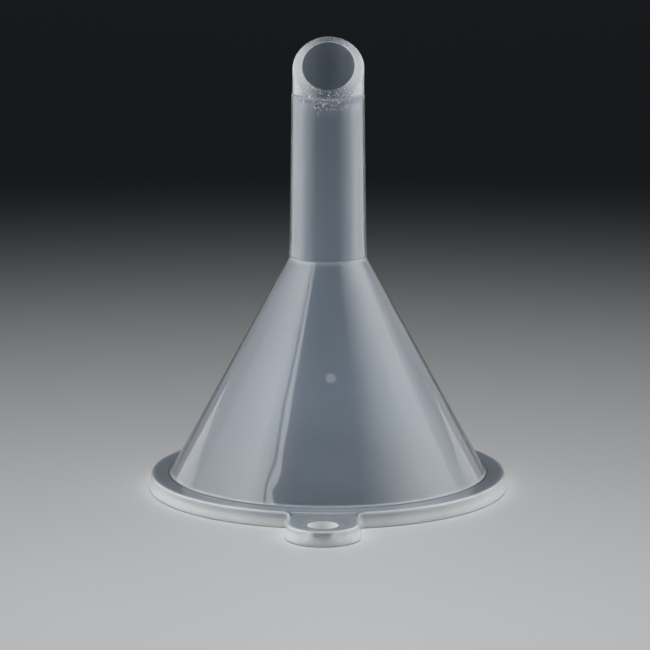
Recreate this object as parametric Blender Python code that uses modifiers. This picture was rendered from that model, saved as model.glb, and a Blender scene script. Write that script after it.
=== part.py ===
"""Small filling funnel, moulded in one piece from natural polypropylene.

It stands on its rim, mouth down and stem up: +Z runs up the stem, and the hang tab points to -Y.
The origin is the middle of its footprint, rim and tab together, on the surface that it rests on.
One moulding is held here as four solids that do not overlap: rim, tab, cone and stem.
"""

import math

import bmesh
import bpy
from mathutils import Vector

# Rim flange: a flat ring round the mouth, with draft on its edge.
RIM_RADIUS = 0.0170
RIM_THICKNESS = 0.00145
RIM_DRAFT = 0.00022

# Cone: its outer surface between the rim's upper face and the corner where it would meet the stem.
CONE_BASE_RADIUS = 0.01496
CORNER_HEIGHT = 0.0221
CORNER_RADIUS = 0.00362
SHOULDER_FILLET = 0.0010
WALL = 0.0010

# Stem: a slightly tapered tube that ends in a slanted cut, lowest on the tab's side.
STEM_BASE_HEIGHT = 0.0228
STEM_TIP_RADIUS = 0.00342
STEM_TIP_HEIGHT = 0.0400
BORE_TIP_RADIUS = 0.00245
CUT_TILT = math.radians(37)

# Hang tab: level with the rim, with a fully rounded end.
TAB_WIDTH = 0.0069
TAB_REACH = 0.0066
TAB_HOLE_RADIUS = 0.00145
TAB_HOLE_REACH = 0.0040
TAB_GAP = 0.00005
TAB_ROOT = 0.0012

# Smoothness of the round shapes, how far cutters reach past what they cut, and two tolerances.
TURN_STEPS = 96
ROUND_STEPS = 48
FILLET_STEPS = 6
PAST = 0.004
WELD_DISTANCE = 1e-6
CRISP_ANGLE = math.radians(25)

AXIS_Y = TAB_REACH / 2
CONE_SLOPE = (CONE_BASE_RADIUS - CORNER_RADIUS) / (CORNER_HEIGHT - RIM_THICKNESS)
CONE_WALL_ACROSS = WALL * math.hypot(1, CONE_SLOPE)
STEM_SLOPE = (CORNER_RADIUS - STEM_TIP_RADIUS) / (STEM_TIP_HEIGHT - CORNER_HEIGHT)


def clear_scene():
    for obj in list(bpy.data.objects):
        bpy.data.objects.remove(obj)


def new_collection(name):
    collection = bpy.data.collections.new(name)
    bpy.context.scene.collection.children.link(collection)
    return collection


def cone_radius(height):
    """The cone's outer radius at a height above the resting face."""
    return CONE_BASE_RADIUS - CONE_SLOPE * (height - RIM_THICKNESS)


def mouth_radius(height):
    """The cone's inner radius at a height, down to the resting face."""
    return cone_radius(height) - CONE_WALL_ACROSS


def stem_radius(height):
    return CORNER_RADIUS - STEM_SLOPE * (height - CORNER_HEIGHT)


BORE_BASE_RADIUS = mouth_radius(CORNER_HEIGHT)
BORE_SLOPE = (BORE_BASE_RADIUS - BORE_TIP_RADIUS) / (STEM_TIP_HEIGHT - CORNER_HEIGHT)


def bore_radius(height):
    return BORE_BASE_RADIUS - BORE_SLOPE * (height - CORNER_HEIGHT)


def fillet(before, corner, after, radius):
    """Points (radius, height) of an arc that rounds the corner between two straight runs."""
    corner = Vector(corner)
    along_in = (Vector(before) - corner).normalized()
    along_out = (Vector(after) - corner).normalized()
    half_angle = along_in.angle(along_out) / 2
    setback = radius / math.tan(half_angle)
    start, end = corner + along_in * setback, corner + along_out * setback
    centre = corner + (along_in + along_out).normalized() * (radius / math.sin(half_angle))
    first, last = (start - centre).normalized(), (end - centre).normalized()
    shares = [step / FILLET_STEPS for step in range(FILLET_STEPS + 1)]
    return [tuple(centre + radius * first.slerp(last, share)) for share in shares]


def turned(name, profile, collection):
    """A ring turned about Z from a closed profile that runs down its outer side and up its inner."""
    mesh = bpy.data.meshes.new(name)
    form = bmesh.new()
    verts = [form.verts.new((radius, 0, height)) for radius, height in profile]
    for first, second in zip(verts, verts[1:] + verts[:1]):
        form.edges.new((first, second))
    form.to_mesh(mesh)
    form.free()
    obj = bpy.data.objects.new(name, mesh)
    obj.location = (0, AXIS_Y, 0)
    collection.objects.link(obj)
    screw = obj.modifiers.new("turn", "SCREW")
    screw.steps = screw.render_steps = TURN_STEPS
    screw.use_merge_vertices = False
    return obj


def cylinder_cutter(name, radius, place, collection):
    bpy.ops.mesh.primitive_cylinder_add(
        vertices=ROUND_STEPS, radius=radius, depth=2 * PAST, location=place)
    return as_cutter(name, bpy.context.object, collection)


def as_cutter(name, obj, collection):
    obj.name = obj.data.name = name
    for holder in list(obj.users_collection):
        holder.objects.unlink(obj)
    collection.objects.link(obj)
    obj.hide_render = True
    obj.display_type = "WIRE"
    return obj


def cut(obj, cutter):
    boolean = obj.modifiers.new(cutter.name, "BOOLEAN")
    boolean.operation = "DIFFERENCE"
    boolean.solver = "EXACT"
    boolean.object = cutter


def rim_profile(clearance=0.0, past=0.0):
    """The rim's section; clearance grows its edge and past its height, for use as a cutter."""
    drafted = RIM_DRAFT * (RIM_THICKNESS + past) / RIM_THICKNESS
    foot = RIM_DRAFT * past / RIM_THICKNESS
    return [
        (RIM_RADIUS - drafted + clearance, RIM_THICKNESS + past),
        (RIM_RADIUS + foot + clearance, -past),
        (mouth_radius(0.0), -past),
        (mouth_radius(RIM_THICKNESS), RIM_THICKNESS + past),
    ]


def make_cone(collection):
    base, crown = RIM_THICKNESS, STEM_BASE_HEIGHT
    corner = (CORNER_RADIUS, CORNER_HEIGHT)
    shoulder = fillet((stem_radius(crown), crown), corner, (cone_radius(base), base), SHOULDER_FILLET)
    outer = [(stem_radius(crown), crown), *shoulder, (cone_radius(base), base)]
    inner = [(mouth_radius(base), base), (BORE_BASE_RADIUS, CORNER_HEIGHT), (bore_radius(crown), crown)]
    return turned("cone_body", outer + inner, collection)


def make_rim(collection):
    return turned("rim_flange", rim_profile(), collection)


def make_stem(collection, cutters):
    base, top = STEM_BASE_HEIGHT, STEM_TIP_HEIGHT + PAST
    outer = [(stem_radius(top), top), (stem_radius(base), base)]
    inner = [(bore_radius(base), base), (bore_radius(top), top)]
    stem = turned("stem_tube", outer + inner, collection)
    bpy.ops.mesh.primitive_cube_add(size=4 * PAST, rotation=(CUT_TILT, 0, 0))
    slant = as_cutter("tip_slant", bpy.context.object, cutters)
    upward = slant.rotation_euler.to_matrix() @ Vector((0, 0, 1))
    slant.location = Vector((0, AXIS_Y, STEM_TIP_HEIGHT)) + upward * 2 * PAST
    cut(stem, slant)
    return stem


def tab_outline():
    """The tab from above: straight sides from inside the rim, then a half circle."""
    half = TAB_WIDTH / 2
    end_y = AXIS_Y - RIM_RADIUS - TAB_REACH + half
    root_y = AXIS_Y - RIM_RADIUS + TAB_ROOT
    points = [(half, root_y), (-half, root_y)]
    for step in range(ROUND_STEPS // 2 + 1):
        angle = math.pi + math.pi * step / (ROUND_STEPS // 2)
        points.append((half * math.cos(angle), end_y + half * math.sin(angle)))
    return points


def make_tab(collection, cutters):
    curve = bpy.data.curves.new("hang_tab", "CURVE")
    curve.dimensions = "2D"
    curve.fill_mode = "BOTH"
    curve.extrude = RIM_THICKNESS / 2
    outline = tab_outline()
    spline = curve.splines.new("POLY")
    spline.points.add(len(outline) - 1)
    for point, (x, y) in zip(spline.points, outline):
        point.co = (x, y, 0, 1)
    spline.use_cyclic_u = True
    source = bpy.data.objects.new("tab_source", curve)
    collection.objects.link(source)
    source.location.z = RIM_THICKNESS / 2
    bpy.context.view_layer.update()
    evaluated = source.evaluated_get(bpy.context.evaluated_depsgraph_get())
    mesh = bpy.data.meshes.new_from_object(evaluated)
    weld(mesh)
    tab = bpy.data.objects.new("hang_tab", mesh)
    tab.matrix_world = source.matrix_world
    collection.objects.link(tab)
    bpy.data.objects.remove(source)
    rim_room = turned("rim_clearance", rim_profile(TAB_GAP, PAST), cutters)
    cut(tab, as_cutter("rim_clearance", rim_room, cutters))
    hole_y = AXIS_Y - RIM_RADIUS - TAB_HOLE_REACH
    cut(tab, cylinder_cutter("tab_hole", TAB_HOLE_RADIUS, (0, hole_y, 0), cutters))
    return tab


def weld(mesh):
    form = bmesh.new()
    form.from_mesh(mesh)
    bmesh.ops.remove_doubles(form, verts=form.verts, dist=WELD_DISTANCE)
    bmesh.ops.recalc_face_normals(form, faces=form.faces)
    form.to_mesh(mesh)
    form.free()


def natural_polypropylene(name):
    """Milky, translucent plastic with a moulded gloss."""
    material = bpy.data.materials.new(name)
    material.use_nodes = True
    shader = material.node_tree.nodes["Principled BSDF"]
    shader.inputs["Base Color"].default_value = (0.62, 0.66, 0.70, 1)
    shader.inputs["Metallic"].default_value = 0.0
    shader.inputs["Roughness"].default_value = 0.25
    shader.inputs["IOR"].default_value = 1.49
    shader.inputs["Transmission Weight"].default_value = 0.5
    return material


def finish(obj):
    """Applies the modifiers, then shades the round faces smooth and keeps the edges crisp."""
    bpy.context.view_layer.update()
    evaluated = obj.evaluated_get(bpy.context.evaluated_depsgraph_get())
    mesh = bpy.data.meshes.new_from_object(evaluated)
    mesh.name = obj.name
    obj.modifiers.clear()
    obj.data = mesh
    mesh.materials.clear()
    mesh.materials.append(natural_polypropylene(obj.name))
    mesh.shade_smooth()
    mesh.set_sharp_from_angle(angle=CRISP_ANGLE)


def main():
    clear_scene()
    funnel = new_collection("filling_funnel")
    cutters = new_collection("cutters")
    parts = [make_rim(funnel), make_tab(funnel, cutters), make_cone(funnel), make_stem(funnel, cutters)]
    moulding = bpy.data.objects.new("moulding", None)
    funnel.objects.link(moulding)
    for part in parts:
        finish(part)
        part.parent = moulding


main()
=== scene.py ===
"""Looks of the small filling funnel: one continuous polypropylene moulding round the CAD frame.

The moulding is a grid. Its columns go once round the funnel and its rows follow the section: under
the rim, up its edge, over its top, up the cone and the stem, across the slanted cut, and back down
the bore. Lengths are in metres. The funnel's axis stands on AXIS, and turns about it start at the
middle of the tab.
"""

import math

import bpy
from mathutils import Matrix, Vector, noise


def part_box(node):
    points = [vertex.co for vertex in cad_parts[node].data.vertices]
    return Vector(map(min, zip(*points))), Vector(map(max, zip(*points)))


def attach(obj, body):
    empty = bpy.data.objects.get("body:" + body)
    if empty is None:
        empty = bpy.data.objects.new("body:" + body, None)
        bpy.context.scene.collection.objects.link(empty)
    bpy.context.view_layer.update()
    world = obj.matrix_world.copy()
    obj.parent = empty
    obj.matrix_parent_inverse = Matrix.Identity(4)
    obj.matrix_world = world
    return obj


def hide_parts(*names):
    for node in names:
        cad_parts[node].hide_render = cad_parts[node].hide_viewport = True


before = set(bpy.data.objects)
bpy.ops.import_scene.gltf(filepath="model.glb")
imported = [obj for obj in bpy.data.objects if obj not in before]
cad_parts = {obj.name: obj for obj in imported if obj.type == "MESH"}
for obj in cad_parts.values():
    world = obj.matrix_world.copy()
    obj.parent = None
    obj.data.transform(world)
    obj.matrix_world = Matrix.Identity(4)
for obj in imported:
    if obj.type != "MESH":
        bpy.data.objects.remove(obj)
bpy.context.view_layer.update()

# What the CAD solids say.
RIM_LOW, RIM_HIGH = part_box("rim_flange")
TAB_LOW, TAB_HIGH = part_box("hang_tab")
CONE_LOW, CONE_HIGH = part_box("cone_body")
TIP_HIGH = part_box("stem_tube")[1].z
AXIS = Vector(((RIM_LOW.x + RIM_HIGH.x) / 2, (RIM_LOW.y + RIM_HIGH.y) / 2, 0))
RIM_RADIUS = (RIM_HIGH.x - RIM_LOW.x) / 2
RIM_TOP = RIM_HIGH.z
CONE_FOOT = (CONE_HIGH.x - CONE_LOW.x) / 2
TAB_HALF = (TAB_HIGH.x - TAB_LOW.x) / 2
TAB_END = AXIS.y - TAB_LOW.y

# Rim and tab: draft and rounding of the edge, and a low step where the tab leaves the rim.
RIM_DRAFT = 0.00022
EDGE_ROUND, LOW_EDGE_ROUND = 0.00012, 0.00007
TAB_CORNER_ROUND = 0.0003
TAB_BLEND = 0.8 * TAB_CORNER_ROUND
TAB_STEP, TAB_STEP_INSET = 0.00006, 0.00028
TAB_ROOT_INSET = 0.0006
TAB_ROOT_ROWS = (0.00003, 0.00007, 0.00012)
HOLE_RADIUS, HOLE_REACH, HOLE_MARGIN = 0.00142, 0.0040, 0.00001
HOLE_COLUMNS = 96

# Cone: the corner where it would meet the stem, its wall and its fillets.
CORNER_HEIGHT = 0.0221
CORNER_RADIUS = 0.00362
WALL = 0.0010
FOOT_FILLET, NECK_FILLET, BORE_FILLET = 0.0003, 0.00045, 0.0008
FOOT_RING = 0.0008

# Stem: its flare at the cone, the ring below the tip, and the slanted cut, rounded at the back.
FLARE, FLARE_REACH = 0.00010, 0.0022
TIP_RADIUS = 0.00338
BORE_TIP_RADIUS = 0.00243
CUT_HEIGHT, CUT_SLOPE = 0.04016, 0.807
CUT_ROUGHNESS, CUT_GRAIN = 0.00007, 0.00022
LIP_START = 0.0027
LIP_DROP = CUT_HEIGHT + CUT_SLOPE * TIP_RADIUS - TIP_HIGH + 0.00012
RING_HEIGHT = 0.0374
RING_BULGE, RING_WIDTH = 0.00003, 0.00012
RING_BELOW, RING_ABOVE = 0.0004, 0.0002
TIP_STEP, TIP_SHIFT = 0.00004, 0.00003
BORE_MOUTH = 0.0006

# The cut's lips, each rounded by one row: (inset from the wall, drop below the cut).
OUTER_LIP, OUTER_WALL_DROP = (0.00003, 0.00001), 0.00004
INNER_LIP, INNER_WALL_DROP = (0.00001, 0.00002), 0.00008
CUT_OUTER_INSET, CUT_INNER_INSET = 0.00007, 0.00003

# Gate mark: a dished button, and its colour fades out just past its edge.
GATE_HEIGHT, GATE_TURN, GATE_RADIUS = 0.0123, math.radians(2.7), 0.00048
GATE_PROUD = 0.00002
GATE_DISH = (0.8, 1.2)
GATE_FADE_END, GATE_FADE_WIDTH = 1.3, 0.7

# Waves in the cone's wall on the left of the tab: a faint waver, and a ripple close to the foot.
WAVE_TURN, WAVE_WIDTH = math.radians(-22), math.radians(12)
WAVER, WAVER_LENGTH = 0.000014, 0.005
RIPPLE, RIPPLE_REACH = 0.00007, 0.0022

# Whiteness of the rim, partly painted light: its flat top, and its side, lighter low down and to
# the left and right, with painted bright bands and a painted shadow below the hole.
FLANGE_EDGE = 0.22
RIM_EDGE_SHARES = ((0.06, 1.0), (0.3, 0.95), (0.55, 0.65), (0.75, 0.35), (0.9, 0.35))
SIDE_PAINTED_LIGHT, TAB_GAIN, BAND_PAINTED_LIGHT, PAINTED_SHADOW_LOSS = 0.7, 0.3, 0.4, 0.45
BAND_PLACE, BAND_WIDTH = 0.0012, 0.00035
# Painted shade on the rim's flat top near the cone, and a painted dark line in the cone's foot fillet.
FLANGE_PAINTED_SHADE, FOOT_PAINTED_SHADE = 0.3, 0.9

# Columns of half the grid, and the spacing of its rows.
ARC_COLUMNS, SIDE_COLUMNS, CORNER_COLUMNS, RIM_COLUMNS = 24, 10, 8, 180
SEAM = 0.0001
FINE_SPACING, CONE_SPACING, STEM_SPACING, BORE_SPACING = 0.0004, 0.0012, 0.0007, 0.0015
GATE_SPAN, GATE_SPACING, RING_SPACING = 0.0007, 0.00006, 0.00004
TIP_ROWS, CUT_ROWS, BORE_MOUTH_ROWS = 16, 14, 8

# Places that only give the direction of a straight run.
NEAR, MID_CONE, MID_STEM = 0.001, 0.01, 0.03

HOLE = AXIS - Vector((0, RIM_RADIUS + HOLE_REACH, 0))
CONE_SLOPE = (CONE_FOOT - CORNER_RADIUS) / (CORNER_HEIGHT - RIM_TOP)
WALL_ACROSS = WALL * math.hypot(1, CONE_SLOPE)
STEM_SLOPE = (CORNER_RADIUS - TIP_RADIUS) / (CUT_HEIGHT - CORNER_HEIGHT)
BORE_BASE_RADIUS = CORNER_RADIUS - WALL_ACROSS
BORE_SLOPE = (BORE_BASE_RADIUS - BORE_TIP_RADIUS) / (CUT_HEIGHT - CORNER_HEIGHT)


def cone_radius(height):
    return CONE_FOOT - CONE_SLOPE * (height - RIM_TOP)


def mouth_radius(height):
    return cone_radius(height) - WALL_ACROSS


def stem_radius(height):
    flare = max(0.0, 1 - (height - CORNER_HEIGHT) / FLARE_REACH) ** 2 * FLARE
    return CORNER_RADIUS - STEM_SLOPE * (height - CORNER_HEIGHT) + flare


def bore_radius(height):
    return BORE_BASE_RADIUS - BORE_SLOPE * (height - CORNER_HEIGHT)


def spaced(first, last, step):
    """Numbers from first to last, about step apart, with both ends."""
    count = max(1, round(abs(last - first) / step))
    return [first + (last - first) * i / count for i in range(count + 1)]


def rounded(before, corner, after, radius, steps):
    """Points of an arc that rounds the corner between two straight runs."""
    corner = Vector(corner)
    along_in = (Vector(before) - corner).normalized()
    along_out = (Vector(after) - corner).normalized()
    half_angle = along_in.angle(along_out) / 2
    setback = radius / math.tan(half_angle)
    centre = corner + (along_in + along_out).normalized() * (radius / math.sin(half_angle))
    first = (corner + along_in * setback - centre).normalized()
    last = (corner + along_out * setback - centre).normalized()
    return [tuple(centre + radius * first.slerp(last, i / steps)) for i in range(steps + 1)]


# ---------------------------------------------------------------- columns

def half_outline():
    """(point, outward normal) from the tab's end to the far side, and where the tab meets the rim.

    The second value is the number of the first column on the rim, and the third is its turn.
    """
    end_centre = -(TAB_END - TAB_HALF)
    corner = Vector((TAB_HALF + TAB_CORNER_ROUND, 0))
    corner.y = -math.sqrt((RIM_RADIUS + TAB_CORNER_ROUND) ** 2 - corner.x ** 2)
    points = []
    for i in range(ARC_COLUMNS):
        turn = math.pi / 2 * i / ARC_COLUMNS
        normal = Vector((math.sin(turn), -math.cos(turn)))
        points.append((Vector((0, end_centre)) + normal * TAB_HALF, normal))
    for i in range(SIDE_COLUMNS):
        y = end_centre + (corner.y - end_centre) * i / SIDE_COLUMNS
        points.append((Vector((TAB_HALF, y)), Vector((1, 0))))
    to_rim = (-corner).normalized()
    for i in range(CORNER_COLUMNS):
        normal = -Vector((-1, 0)).slerp(to_rim, i / CORNER_COLUMNS)
        points.append((corner - normal * TAB_CORNER_ROUND, normal))
    in_tab = len(points)
    start = math.atan2(corner.x, -corner.y)
    for i in range(RIM_COLUMNS + 1):
        turn = start + (math.pi - start) * i / RIM_COLUMNS
        normal = Vector((math.sin(turn), -math.cos(turn)))
        points.append((normal * RIM_RADIUS, normal))
    return points, in_tab, start


def columns():
    """Each column's outline point, outward normal and turn about the axis, once round."""
    half, in_tab, start = half_outline()
    lengths = [0.0]
    for (a, _), (b, _) in zip(half[:in_tab], half[1:in_tab + 1]):
        lengths.append(lengths[-1] + (b - a).length)
    made = []
    for i, (point, normal) in enumerate(half):
        turn = start * lengths[i] / lengths[in_tab] if i <= in_tab else math.atan2(point.x, -point.y)
        made.append((point, normal, turn))
    mirrored = [(Vector((-p.x, p.y)), Vector((-n.x, n.y)), -turn) for p, n, turn in made[-2:0:-1]]
    return made + mirrored


COLUMNS = columns()


def circle(radius, height):
    return [(radius * math.sin(t), -radius * math.cos(t), height) for _, _, t in COLUMNS]


def outline(inset, height, step=0.0):
    """A row round the rim and the tab, where the tab lies lower by the step."""
    return [(p.x - n.x * inset, p.y - n.y * inset, height - step * on_tab(p)) for p, n, _ in COLUMNS]


def on_tab(point):
    """1 where the outline is the tab's and 0 where it is the rim's, and between them in the corner."""
    return min(1.0, max(0.0, (point.length - RIM_RADIUS) / TAB_BLEND))


def tab_root(inset, height, step):
    """A row that crosses the tab along the rim's edge, and elsewhere lies inside the rim's outline."""
    row = []
    for p, n, turn in COLUMNS:
        radius = min(RIM_RADIUS - TAB_STEP_INSET - inset, (p - n * (TAB_ROOT_INSET + inset)).length)
        row.append((radius * math.sin(turn), -radius * math.cos(turn), height - step * on_tab(p)))
    return row


# ---------------------------------------------------------------- rows

def marked(rows, edge=0.0, frost=0.0, inner=0.0, painted_shade=0.0):
    """Rows with their marks: edge is whiter, partly painted light; frost is a rough cut, inner is the
    inside, and the last mark is painted shade.

    A mark is one number for the row, or a function of the column's outline point and turn.
    """
    return [(row, edge, frost, inner, painted_shade) for row in rows]


def rim_whiteness_and_painted_light(level):
    """How whitened the rim's side is, partly painted light: more away from the tab, and on the tab
    two painted bright bands beside a painted shadow.
    """
    def at(point, _):
        if point.y > -RIM_RADIUS - TAB_CORNER_ROUND:
            return level + (1 - level) * SIDE_PAINTED_LIGHT * (point.x / RIM_RADIUS) ** 2
        band = math.exp(-((abs(point.x) - BAND_PLACE) / BAND_WIDTH) ** 2)
        shadow = 1 if abs(point.x) < BAND_PLACE else 0
        return min(1.0, level + TAB_GAIN + BAND_PAINTED_LIGHT * band - PAINTED_SHADOW_LOSS * shadow * (1 - band))
    return at


def root_edge(point, _):
    """The flat top's whiteness, with a painted highlight line on the step across the tab."""
    return FLANGE_EDGE + 0.6 * on_tab(point)


def round_tip(front, side, back):
    """A mark that varies round the tip: its levels on the tab's side, at the sides and at the back."""
    def at(_, turn):
        end = front if math.cos(turn) > 0 else back
        return end + (side - end) * math.sin(turn) ** 2
    return at


def rim_rows():
    """From the mouth's edge, under the rim, up its drafted side and over its flat top."""
    mouth = rounded((mouth_radius(NEAR), NEAR), (mouth_radius(0), 0), (CONE_FOOT, 0), EDGE_ROUND, 4)
    low = rounded((-NEAR, 0), (0, 0), (-RIM_DRAFT, RIM_TOP), LOW_EDGE_ROUND, 5)
    high = rounded((0, 0), (-RIM_DRAFT, RIM_TOP), (-2 * NEAR, RIM_TOP), EDGE_ROUND, 5)
    under = [circle(r, z) for r, z in mouth] + [circle(mouth[-1][0] + 2 * SEAM, 0)]
    under += [outline(-low[0][0] + SEAM, 0)]
    # The rounded bottom and top edges are whitened as painted highlight lines.
    rows = marked(under, inner=1) + marked([outline(-u, z) for u, z in low], edge=1)
    for share, edge in RIM_EDGE_SHARES:
        u, z = (a + (b - a) * share for a, b in zip(low[-1], high[0]))
        rows += marked([outline(-u, z)], rim_whiteness_and_painted_light(edge))
    rows += marked([outline(-u, z, TAB_STEP) for u, z in high], edge=0.8)
    rows += marked([outline(-high[-1][0] + 2 * SEAM, RIM_TOP, TAB_STEP)], FLANGE_EDGE)
    rows += marked([tab_root(0, RIM_TOP, TAB_STEP)], FLANGE_EDGE)
    on_step, above, beyond = TAB_ROOT_ROWS
    rows += marked([tab_root(on_step, RIM_TOP, TAB_STEP * 0.7)], root_edge)
    rows += marked([tab_root(above, RIM_TOP, 0)], root_edge)
    # The flat top near the cone is darkened as painted shade.
    return rows + marked([tab_root(beyond, RIM_TOP, 0)], FLANGE_EDGE / 2, painted_shade=FLANGE_PAINTED_SHADE)


def gate_lift(radius, height, turn):
    """How far the gate's mark stands proud of the cone here, and how strong its colour is."""
    across = (turn - GATE_TURN) * radius
    along = (height - GATE_HEIGHT) * math.hypot(1, CONE_SLOPE)
    share = math.hypot(across, along) / GATE_RADIUS
    tint = min(1.0, max(0.0, (GATE_FADE_END - share) / GATE_FADE_WIDTH))
    dished = GATE_DISH[0] + GATE_DISH[1] * share ** 2
    return GATE_PROUD * max(0.0, 1 - share ** 2) * dished, tint


def cone_row(radius, height):
    """A row of the cone, with the gate's mark and the waves that bend the reflections."""
    row = []
    for _, _, turn in COLUMNS:
        lift, _ = gate_lift(radius, height, turn)
        place = Vector((radius * math.sin(turn), -radius * math.cos(turn), height))
        near = math.exp(-((turn - WAVE_TURN) / WAVE_WIDTH) ** 2)
        low = (height - RIM_TOP - FOOT_FILLET) / RIPPLE_REACH
        waver = WAVER * noise.noise(place / WAVER_LENGTH)
        ripple = RIPPLE * low * math.exp(1 - low) * noise.noise(place / RIPPLE_REACH)
        out = radius + lift + near * (waver + ripple)
        row.append((out * math.sin(turn), -out * math.cos(turn), height))
    return row


def cone_rows():
    """The cone from its foot, with painted shade and a painted highlight in its fillet, to the end of
    its neck fillet, and the height of that end.
    """
    corner = (cone_radius(CORNER_HEIGHT), CORNER_HEIGHT)
    foot = rounded((RIM_RADIUS, RIM_TOP), (CONE_FOOT, RIM_TOP), corner, FOOT_FILLET, 8)
    neck = rounded((CONE_FOOT, RIM_TOP), corner, (stem_radius(MID_STEM), MID_STEM), NECK_FILLET, 6)
    # The flat top up to the foot and the low part of the foot fillet are darkened as painted shade; the
    # fillet's upper part is whitened as a painted highlight.
    rows = marked([circle(foot[0][0] + FOOT_RING, RIM_TOP)], FLANGE_EDGE / 2, painted_shade=FLANGE_PAINTED_SHADE)
    rows += marked([circle(foot[0][0] + SEAM, RIM_TOP)], edge=0.05, painted_shade=FLANGE_PAINTED_SHADE)
    rows += marked([circle(r, z) for r, z in foot[:4]], painted_shade=FOOT_PAINTED_SHADE)
    rows += marked([circle(r, z) for r, z in foot[4:]], edge=0.6)
    base, top = foot[-1][1] + SEAM, neck[0][1] - 2 * SEAM
    rows += marked([circle(cone_radius(base), base)])
    gate_low, gate_high = GATE_HEIGHT - GATE_SPAN, GATE_HEIGHT + GATE_SPAN
    wavy_top = RIM_TOP + 3 * RIPPLE_REACH
    heights = spaced(base, wavy_top, FINE_SPACING)[1:] + spaced(wavy_top, gate_low, CONE_SPACING)[1:]
    heights += spaced(gate_low, gate_high, GATE_SPACING)[1:] + spaced(gate_high, top, CONE_SPACING)[1:]
    rows += marked([cone_row(cone_radius(z), z) for z in heights])
    # The neck fillet is whitened, partly for the thicker plastic there and partly as a painted
    # highlight.
    rows += marked([circle(r, z) for r, z in neck], edge=0.3)
    end = neck[-1][1]
    return rows + marked([circle(stem_radius(end + SEAM), end + SEAM)]), end


def cut_at(radius, turn):
    """Height of the slanted cut, lowest on the tab's side, with its outer lip rounded at the back."""
    outward = max(0.0, (radius - LIP_START) / (TIP_RADIUS - LIP_START))
    drop = LIP_DROP * outward ** 2 * (1 - math.cos(turn)) / 2
    return CUT_HEIGHT - CUT_SLOPE * radius * math.cos(turn) - drop


def slanted(radius, share, base, drop=0.0):
    """A row part way from level at base to the slant of the cut."""
    row = []
    for _, _, turn in COLUMNS:
        height = base + (cut_at(radius, turn) - drop - base) * share
        x, y = radius * math.sin(turn) + TIP_SHIFT, -radius * math.cos(turn)
        rough = CUT_ROUGHNESS * share * noise.noise(Vector((x, y, height)) / CUT_GRAIN)
        row.append((x, y, height - abs(rough)))
    return row


def stem_rows(start):
    """The stem and the ring below its tip."""
    rows = marked([circle(stem_radius(start + 3 * SEAM), start + 3 * SEAM)])
    heights = spaced(start + 3 * SEAM, RING_HEIGHT - RING_BELOW, STEM_SPACING)[1:]
    rows += marked([circle(stem_radius(z), z) for z in heights[:-2]])
    rows += marked([circle(stem_radius(z), z) for z in heights[-2:]], frost=round_tip(0.5, 0.3, 0))
    last = RING_HEIGHT + RING_ABOVE - RING_SPACING
    for z in spaced(RING_HEIGHT - RING_BELOW, last, RING_SPACING)[1:]:
        bulge = RING_BULGE * math.exp(-((z - RING_HEIGHT) / (RING_WIDTH / 2)) ** 2)
        step = TIP_STEP if z > RING_HEIGHT else 0
        # The ring is whitened along its bulge as a painted highlight line, and darkened on the tab's
        # side as painted shade.
        rows += marked([circle(stem_radius(z) + bulge - step, z)], edge=0.3 * bulge / RING_BULGE,
                       frost=round_tip(1, 0.6, 0.1), painted_shade=round_tip(0.5, 0, 0))
    return rows


def tip_rows():
    """The tip's rough outside, its slanted cut, and the first of the bore below it."""
    outer, inner = TIP_RADIUS - TIP_STEP, BORE_TIP_RADIUS
    base = RING_HEIGHT + RING_ABOVE
    frost = round_tip(1, 0.6, 0.1)
    rows = []
    for i in range(TIP_ROWS):
        # Round the tip, the edge mark whitens the sides and the lips as painted light, and the last
        # mark darkens the front on the tab's side and the back of the cut as painted shade.
        rows += marked([slanted(outer, (i / (TIP_ROWS - 1)) ** 0.8, base, OUTER_WALL_DROP)],
                       edge=round_tip(0, 0.7, 0.2), frost=frost, painted_shade=round_tip(1, 0, 0.2))
    inset, drop = OUTER_LIP
    rows += marked([slanted(outer - inset, 1, base, drop)], round_tip(0, 0.9, 0.9), frost)
    start, end = outer - CUT_OUTER_INSET, inner + CUT_INNER_INSET
    for i in range(CUT_ROWS):
        radius = start + (end - start) * i / (CUT_ROWS - 1)
        rows += marked([slanted(radius, 1, base)], edge=round_tip(0, 0.9, 0),
                       frost=round_tip(1, 0.6, 0.3), painted_shade=round_tip(1, 0, 0.8))
    inset, drop = INNER_LIP
    rows += marked([slanted(inner + inset, 1, base, drop)], round_tip(0.2, 1, 1), frost)
    for i in range(BORE_MOUTH_ROWS):
        share = 1 - i / BORE_MOUTH_ROWS
        rows += marked([slanted(inner, share, base - BORE_MOUTH, INNER_WALL_DROP)], inner=1)
    return rows


def bore_rows():
    """Down the bore and the inside of the cone, to just above the mouth's edge."""
    neck = rounded((bore_radius(MID_STEM), MID_STEM), (BORE_BASE_RADIUS, CORNER_HEIGHT),
                   (mouth_radius(MID_CONE), MID_CONE), BORE_FILLET, 6)
    heights = spaced(RING_HEIGHT - BORE_MOUTH, neck[0][1], BORE_SPACING)[1:-1]
    rows = [circle(bore_radius(z), z) for z in heights]
    rows += [circle(r, z) for r, z in neck]
    rows += [circle(mouth_radius(z), z) for z in spaced(neck[-1][1], 6 * SEAM, BORE_SPACING)[1:]]
    return marked(rows, inner=1)


# ---------------------------------------------------------------- the moulding

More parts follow.
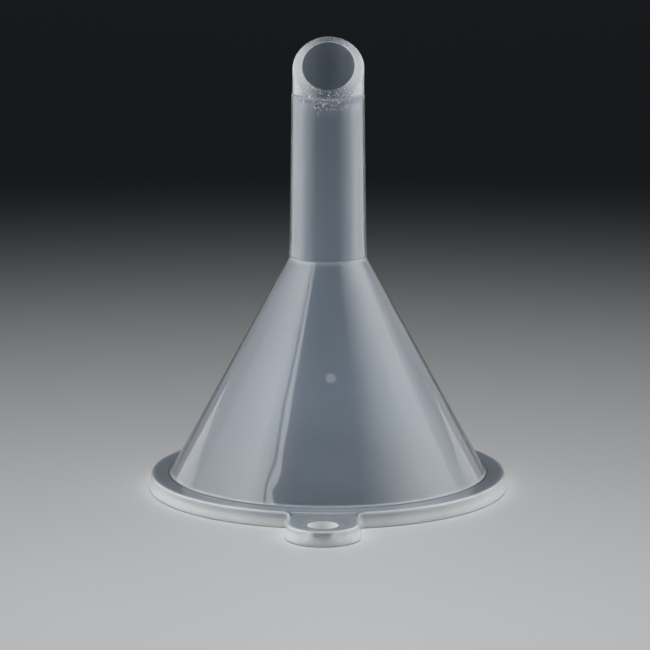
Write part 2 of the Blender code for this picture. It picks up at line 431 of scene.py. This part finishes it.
def moulding_mesh():
    cone, stem_start = cone_rows()
    rows = rim_rows() + cone + stem_rows(stem_start) + tip_rows() + bore_rows()
    across = len(COLUMNS)
    points = [(x + AXIS.x, y + AXIS.y, z) for row, *_ in rows for x, y, z in row]
    faces = []
    for i in range(len(rows)):
        here, above = i * across, (i + 1) % len(rows) * across
        for j in range(across):
            k = (j + 1) % across
            faces.append((here + j, here + k, above + k, above + j))
    mesh = bpy.data.meshes.new("funnel_moulding")
    mesh.from_pydata(points, [], faces)
    for index, name in enumerate(("edge", "frost", "inner", "painted_shade"), start=1):
        marks = []
        for row in rows:
            level = row[index]
            marks += [level(point, turn) if callable(level) else level for point, _, turn in COLUMNS]
        set_marks(mesh, name, marks)
    set_marks(mesh, "gate", [gate_mark(Vector(point)) for point in points])
    mesh.update()
    return mesh


def gate_mark(point):
    """The strength of the gate's colour at a point of the mesh, on the cone's outside only."""
    point -= AXIS
    radius, turn = math.hypot(point.x, point.y), math.atan2(point.x, -point.y)
    if radius < cone_radius(point.z) - WALL_ACROSS / 2:
        return 0.0
    return gate_lift(radius, point.z, turn)[1]


def set_marks(mesh, name, values):
    mesh.attributes.new(name, "FLOAT", "POINT").data.foreach_set("value", values)


def drill(obj):
    """Cuts the hanging hole, and gives the cut's own points the whiteness of the tab's top."""
    bpy.ops.mesh.primitive_cylinder_add(
        vertices=HOLE_COLUMNS, radius=HOLE_RADIUS, depth=4 * RIM_TOP, location=HOLE)
    cutter = bpy.context.object
    boolean = obj.modifiers.new("hanging_hole", "BOOLEAN")
    boolean.operation = "DIFFERENCE"
    boolean.solver = "EXACT"
    boolean.object = cutter
    bpy.context.view_layer.update()
    evaluated = obj.evaluated_get(bpy.context.evaluated_depsgraph_get())
    mesh = bpy.data.meshes.new_from_object(evaluated)
    obj.modifiers.clear()
    obj.data = mesh
    for vert, mark in zip(mesh.vertices, mesh.attributes["edge"].data):
        if math.hypot(vert.co.x - HOLE.x, vert.co.y - HOLE.y) < HOLE_RADIUS + HOLE_MARGIN:
            mark.value = FLANGE_EDGE
    bpy.data.objects.remove(cutter)


def make_moulding():
    obj = bpy.data.objects.new("funnel_moulding", moulding_mesh())
    bpy.context.scene.collection.objects.link(obj)
    drill(obj)
    obj.data.shade_smooth()
    obj.data.set_sharp_from_angle(angle=math.radians(35))
    obj.data.materials.clear()
    obj.data.materials.append(polypropylene())
    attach(obj, "root")
    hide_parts("rim_flange", "hang_tab", "cone_body", "stem_tube")
    return obj


# ---------------------------------------------------------------- materials

# Milky body and its denser clouds and flow lines, the dark of painted shade, the whitening of edges
# (partly painted light), gate and specks.
BODY, CLOUD, FLOW = (0.66, 0.77, 0.89, 1), (0.73, 0.82, 0.92, 1), (0.90, 0.92, 0.93, 1)
PAINTED_SHADE_TONE, WHITENED_AND_PAINTED_LIGHT = (0.08, 0.11, 0.14, 1), (0.95, 0.96, 0.96, 1)
GATE_TONE, SPECK_TONE = (0.66, 0.61, 0.55, 1), (0.80, 0.62, 0.56, 1)

# How clear the body is, and how far whitening, the inside and painted shade change that.
CLARITY, WHITE_LOSS, INNER_GAIN, PAINTED_SHADE_LOSS = 0.88, -0.70, 0.10, -0.6
BODY_ROUGHNESS, HAZE_ROUGHNESS, DULL_ROUGHNESS = 0.295, 0.04, 0.15
BUMP_DEPTH, BUMP_STRENGTH = 0.00002, 0.6

# Painted shade round the hole, and the narrow band of radius over which the hole's own wall begins,
# whitened partly as painted light.
HALO_OUTSIDE, HALO_INSIDE, HALO_PAINTED_SHADE = HOLE_RADIUS + 0.0006, HOLE_RADIUS + 0.0001, 0.9
HOLE_OUTSIDE, HOLE_INSIDE, HOLE_EDGE = HOLE_RADIUS + 0.00003, HOLE_RADIUS + 0.00001, 0.75

# What is the same all over the moulding.
MOULDING_SHADER = {
    "IOR": 1.49,
    "Specular IOR Level": 0.2,
    "Subsurface Radius": (1.0, 1.0, 1.0),
    "Subsurface Scale": 0.0012,
    "Coat Roughness": 0.015,
    "Coat IOR": 1.49,
    "Sheen Weight": 0.25,
    "Sheen Roughness": 0.4,
    "Sheen Tint": (0.8, 0.88, 1.0, 1),
}


class Nodes:
    """Short ways to make and link a material's nodes."""

    def __init__(self, name):
        self.material = bpy.data.materials.new(name)
        self.material.use_nodes = True
        self.tree = self.material.node_tree
        self.shader = self.tree.nodes["Principled BSDF"]

    def add(self, kind, values=None, **settings):
        node = self.tree.nodes.new("ShaderNode" + kind)
        for key, value in settings.items():
            setattr(node, key, value)
        for key, value in (values or {}).items():
            self.put(node.inputs[key], value)
        return node

    def put(self, socket, value):
        if isinstance(value, bpy.types.NodeSocket):
            self.tree.links.new(value, socket)
        else:
            socket.default_value = value

    def shade(self, name, value):
        self.put(self.shader.inputs[name], value)

    def math(self, operation, *values, clamp=False):
        node = self.add("Math", dict(enumerate(values)), operation=operation, use_clamp=clamp)
        return node.outputs[0]

    def times(self, first, second):
        return self.math("MULTIPLY", first, second)

    def larger(self, first, second):
        return self.math("MAXIMUM", first, second)

    def times_plus(self, value, factor, added, clamp=False):
        return self.math("MULTIPLY_ADD", value, factor, added, clamp=clamp)

    def ramp(self, value, low, high):
        """0 below low and 1 above high, smoothly; low may be above high to turn it round."""
        settings = {"Value": value, "From Min": low, "From Max": high}
        return self.add("MapRange", settings, interpolation_type="SMOOTHSTEP").outputs["Result"]

    def blend(self, factor, first, second):
        node = self.add("Mix", data_type="RGBA")
        for index, value in ((0, factor), (6, first), (7, second)):
            self.put(node.inputs[index], value)
        return node.outputs[2]

    def mark(self, name):
        return self.add("Attribute", attribute_name=name).outputs["Fac"]

    def stretched(self, place, scale, rotation=(0, 0, 0)):
        settings = {"Vector": place, "Rotation": rotation, "Scale": scale}
        return self.add("Mapping", settings).outputs[0]

    def noise(self, place, scale, detail=2.0):
        return self.add("TexNoise", {"Vector": place, "Scale": scale, "Detail": detail}).outputs["Fac"]

    def bump(self, height):
        settings = {"Height": height, "Strength": BUMP_STRENGTH, "Distance": BUMP_DEPTH}
        return self.add("Bump", settings).outputs[0]


def hairlines(n, place, rotation):
    """Short straight scratches that run one way: noise stretched along the line, and only its peaks."""
    lines = n.stretched(place, (260, 5200, 5200), rotation)
    return n.ramp(n.noise(lines, scale=1, detail=0), 0.74, 0.80)


def scratches(n, place):
    """Hairlines that run two ways, in a few patches."""
    lines = n.larger(hairlines(n, place, (0.3, 0.2, 0.5)), hairlines(n, place, (0.1, -0.5, 1.9)))
    return n.times(n.ramp(n.noise(place, scale=220, detail=1), 0.64, 0.76), lines)


def specks(n, place):
    """Rare small round dots."""
    cells = n.add("TexVoronoi", {"Vector": place, "Scale": 420.0})
    pick = n.add("SeparateColor", {"Color": cells.outputs["Color"]}).outputs[0]
    return n.times(n.ramp(pick, 0.93, 0.94), n.ramp(cells.outputs["Distance"], 0.09, 0.04))


def reach_from_hole(n, place):
    """How far a point is from the hanging hole's axis."""
    level = n.add("VectorMath", {0: place, 1: (1, 1, 0)}, operation="MULTIPLY").outputs[0]
    return n.add("VectorMath", {0: level, 1: HOLE}, operation="DISTANCE").outputs["Value"]


def moulding_colour(n, place, haze, white_and_painted_light, painted_shade):
    flow = n.noise(n.stretched(place, (900, 900, 60)), scale=1, detail=3)
    body = n.blend(n.ramp(haze, 0.3, 0.7), BODY, CLOUD)
    body = n.blend(n.times(flow, 0.25), body, FLOW)
    # Painted shade: the colour darkened in the fillets, on the tip's front and round the hole.
    body = n.blend(painted_shade, body, PAINTED_SHADE_TONE)
    # Whitened partly for thicker or cut plastic and partly as painted light, on edges, the hole's wall
    # and the cut's crumbs.
    colour = n.blend(white_and_painted_light, body, WHITENED_AND_PAINTED_LIGHT)
    colour = n.blend(n.times(n.mark("gate"), 0.7), colour, GATE_TONE)
    return n.blend(n.times(specks(n, place), 0.6), colour, SPECK_TONE)


def polypropylene():
    """Milky natural plastic: glossy where the mould was polished, whitened and dull where it was cut,
    with painted light and painted shade in its colour.
    """
    n = Nodes("natural_polypropylene")
    place = n.add("TexCoord").outputs["Object"]
    edge, frost, inner, gate = n.mark("edge"), n.mark("frost"), n.mark("inner"), n.mark("gate")
    from_hole = reach_from_hole(n, place)
    haze = n.noise(place, scale=160, detail=4)
    grit = n.noise(place, scale=6500, detail=2)
    grain = n.noise(place, scale=9000, detail=3)
    scratch = scratches(n, place)

    # Painted shade: the marked places and a ring round the hole.
    painted_shade = n.larger(n.mark("painted_shade"), n.times(n.ramp(from_hole, HALO_OUTSIDE, HALO_INSIDE), HALO_PAINTED_SHADE))
    # Crumbs of the rough cut, whiter than the body, which also stand in for painted glints.
    crumbs = n.times(n.ramp(frost, 0.1, 0.5), n.ramp(grit, 0.58, 0.63))
    in_hole = n.times(n.ramp(from_hole, HOLE_OUTSIDE, HOLE_INSIDE), HOLE_EDGE)
    # Whitening from the edge mark, the hole's wall and the crumbs: partly the plastic's own, partly
    # painted light.
    white_and_painted_light = n.larger(n.larger(edge, in_hole), crumbs)
    n.shade("Base Color", moulding_colour(n, place, haze, white_and_painted_light, painted_shade))

    dull = n.larger(n.larger(white_and_painted_light, n.times(gate, 0.6)), n.times(scratch, 0.12))
    clear = n.times_plus(dull, WHITE_LOSS, CLARITY)
    clear = n.times_plus(inner, INNER_GAIN, clear)
    n.shade("Transmission Weight", n.times_plus(painted_shade, PAINTED_SHADE_LOSS, clear, clamp=True))
    n.shade("Subsurface Weight", n.math("SUBTRACT", 1.0, n.math("SUBTRACT", painted_shade, crumbs, clamp=True)))

    rough = n.times_plus(n.math("SUBTRACT", haze, 0.5), HAZE_ROUGHNESS, BODY_ROUGHNESS)
    n.shade("Roughness", n.times_plus(n.larger(frost, inner), DULL_ROUGHNESS, rough))
    matt = n.larger(n.times(n.ramp(frost, 0.3, 0.9), 0.9), inner)
    n.shade("Coat Weight", n.math("SUBTRACT", 1.0, matt))

    height = n.times_plus(grit, n.times(frost, 0.9), n.times(scratch, -0.05))
    n.shade("Coat Normal", n.bump(height))
    n.shade("Normal", n.bump(n.times_plus(grain, 0.04, height)))
    for name, value in MOULDING_SHADER.items():
        n.shade(name, value)
    return n.material


def pale_floor():
    """A matt studio surface with a faint, soft unevenness."""
    n = Nodes("pale_floor")
    cloud = n.noise(n.add("TexCoord").outputs["Object"], scale=14, detail=3)
    n.shade("Base Color", n.blend(cloud, (0.60, 0.61, 0.62, 1), (0.64, 0.65, 0.66, 1)))
    n.shade("Roughness", n.times_plus(cloud, 0.1, 0.55))
    return n.material


# ---------------------------------------------------------------- stage, lights, camera

# Stops of (share of the panel's width from its front, level).
LEFT_STRIPES = [(0, 1), (0.132, 1), (0.142, 0.1), (0.19, 0.1), (0.205, 0.75), (0.432, 1),
                (0.679, 0.7), (0.927, 0.4), (1, 0.38)]
RIGHT_STRIPE = [(0, 0), (0.214, 0.12), (0.381, 0.28), (0.595, 0.65), (0.772, 0.95), (0.951, 0.85),
                (1, 0.75)]
LEFT_FALL = [(0, 0.38), (0.08, 0.32), (0.25, 0.2), (0.4, 0.12), (1, 0.12)]
RIGHT_FALL = [(0, 0.75), (0.07, 0.6), (0.15, 0.35), (0.22, 0.25), (1, 0.2)]
CARD_GLOW = [(0, 0.15), (0.25, 0.45), (0.42, 0.75), (0.5, 1), (0.6, 1), (0.65, 0.75), (1, 0.6)]

SOFTBOX_OUT, CARD_OUT = 0.25, 0.10
SOFTBOX_UP, BACK_UP, CARD_UP = (0.06, 0.40), (0, 0.40), (0.001, 0.030)
LEFT_ALONG, RIGHT_ALONG = (-0.268, 0.10), (-0.43, 0.10)
BACK_ALONG, CARD_ALONG = (0.10, 0.60), (-0.12, 0.11)
FLOOR_SIZE, FLOOR_GAP = 4, 0.00002
STUDIO_DARK = (0.02, 0.022, 0.025, 1)


def make_floor():
    bpy.ops.mesh.primitive_plane_add(size=FLOOR_SIZE, location=(0, 0, -FLOOR_GAP))
    floor = bpy.context.object
    floor.name = "floor"
    floor.data.materials.append(pale_floor())
    return floor


def panel_glow(name, stops, strength):
    """Light whose level follows the stops across the panel."""
    material = bpy.data.materials.new(name)
    material.use_nodes = True
    nodes, links = material.node_tree.nodes, material.node_tree.links
    nodes.clear()
    place = nodes.new("ShaderNodeTexCoord")
    split = nodes.new("ShaderNodeSeparateXYZ")
    ramp = nodes.new("ShaderNodeValToRGB")
    glow = nodes.new("ShaderNodeEmission")
    output = nodes.new("ShaderNodeOutputMaterial")
    elements = ramp.color_ramp.elements
    elements[0].position, elements[1].position = stops[0][0], stops[-1][0]
    for position, _ in stops[1:-1]:
        elements.new(position)
    for element, (_, level) in zip(elements, stops):
        element.color = (level, level, level, 1)
    glow.inputs["Strength"].default_value = strength
    links.new(place.outputs["Generated"], split.inputs[0])
    links.new(split.outputs["X"], ramp.inputs[0])
    links.new(ramp.outputs["Color"], glow.inputs["Color"])
    links.new(glow.outputs[0], output.inputs["Surface"])
    return material


def panel(name, out, along, up, glow, lit, seen_through=False):
    """An upright light for the funnel only, at out on X; along and up are its spans in Y and Z.

    The camera never sees it, and through the plastic it shows only if it is seen_through.
    """
    corners = [(along[0], up[0]), (along[1], up[0]), (along[1], up[1]), (along[0], up[1])]
    mesh = bpy.data.meshes.new(name)
    # The panel is made flat and then stood up, so that its own X runs from its front to its back.
    mesh.from_pydata([(y, z, 0) for y, z in corners], [], [(0, 1, 2, 3)])
    obj = bpy.data.objects.new(name, mesh)
    obj.matrix_world = Matrix.Translation(AXIS + Vector((out, 0, 0))) @ Matrix(
        ((0, 0, 1, 0), (1, 0, 0, 0), (0, 1, 0, 0), (0, 0, 0, 1)))
    mesh.materials.append(panel_glow(name, *glow))
    obj.visible_camera = False
    obj.visible_shadow = False
    obj.visible_transmission = seen_through
    bpy.context.scene.collection.objects.link(obj)
    obj.light_linking.receiver_collection = lit


def receivers(name, obj):
    """A collection that limits a light to one object."""
    collection = bpy.data.collections.new(name)
    collection.objects.link(obj)
    return collection


def make_panels(moulding):
    """Softboxes at both sides with dimmer backs, and low cards that light the rim and the tab."""
    lit = receivers("softbox_receivers", moulding)
    panel("left_softbox", -SOFTBOX_OUT, LEFT_ALONG, SOFTBOX_UP, (LEFT_STRIPES, 3.7), lit)
    panel("left_back", -SOFTBOX_OUT, BACK_ALONG, BACK_UP, (LEFT_FALL, 2.5), lit, seen_through=True)
    panel("right_softbox", SOFTBOX_OUT, RIGHT_ALONG, SOFTBOX_UP, (RIGHT_STRIPE, 3.0), lit)
    panel("right_back", SOFTBOX_OUT, BACK_ALONG, BACK_UP, (RIGHT_FALL, 2.1), lit, seen_through=True)
    for name, out in (("left_card", -CARD_OUT), ("right_card", CARD_OUT)):
        panel(name, out, CARD_ALONG, CARD_UP, (CARD_GLOW, 2.1), lit)


def make_overhead(floor):
    """A soft pool of light on the floor."""
    light = bpy.data.lights.new("overhead", "AREA")
    light.shape = "DISK"
    light.size = 0.12
    light.spread = math.radians(38)
    light.energy = 0.135
    overhead = bpy.data.objects.new("overhead", light)
    overhead.location = AXIS + Vector((0, -0.065, 0.6))
    overhead.visible_camera = False
    bpy.context.scene.collection.objects.link(overhead)
    overhead.light_linking.receiver_collection = receivers("overhead_receivers", floor)


def make_world():
    world = bpy.data.worlds.new("studio")
    world.use_nodes = True
    world.node_tree.nodes["Background"].inputs["Color"].default_value = STUDIO_DARK
    bpy.context.scene.world = world
    bpy.context.scene.view_settings.view_transform = "Standard"


def make_camera():
    """A long lens from in front, a little above, and slightly to the right of the tab."""
    distance, height, sideways = 0.350, 0.08477, -0.000283
    turn, pitch, lens = math.radians(1.3), math.radians(11.19), 209.43
    data = bpy.data.cameras.new("camera")
    data.lens, data.sensor_width = lens, 36
    camera = bpy.data.objects.new("camera", data)
    back = Vector((math.sin(turn), -math.cos(turn), 0))
    right = Vector((math.cos(turn), math.sin(turn), 0))
    camera.location = AXIS + back * distance + right * sideways + Vector((0, 0, height))
    camera.rotation_euler = (math.pi / 2 - pitch, 0, turn)
    bpy.context.scene.collection.objects.link(camera)
    bpy.context.scene.camera = camera


make_camera()
make_overhead(make_floor())
make_panels(make_moulding())
make_world()
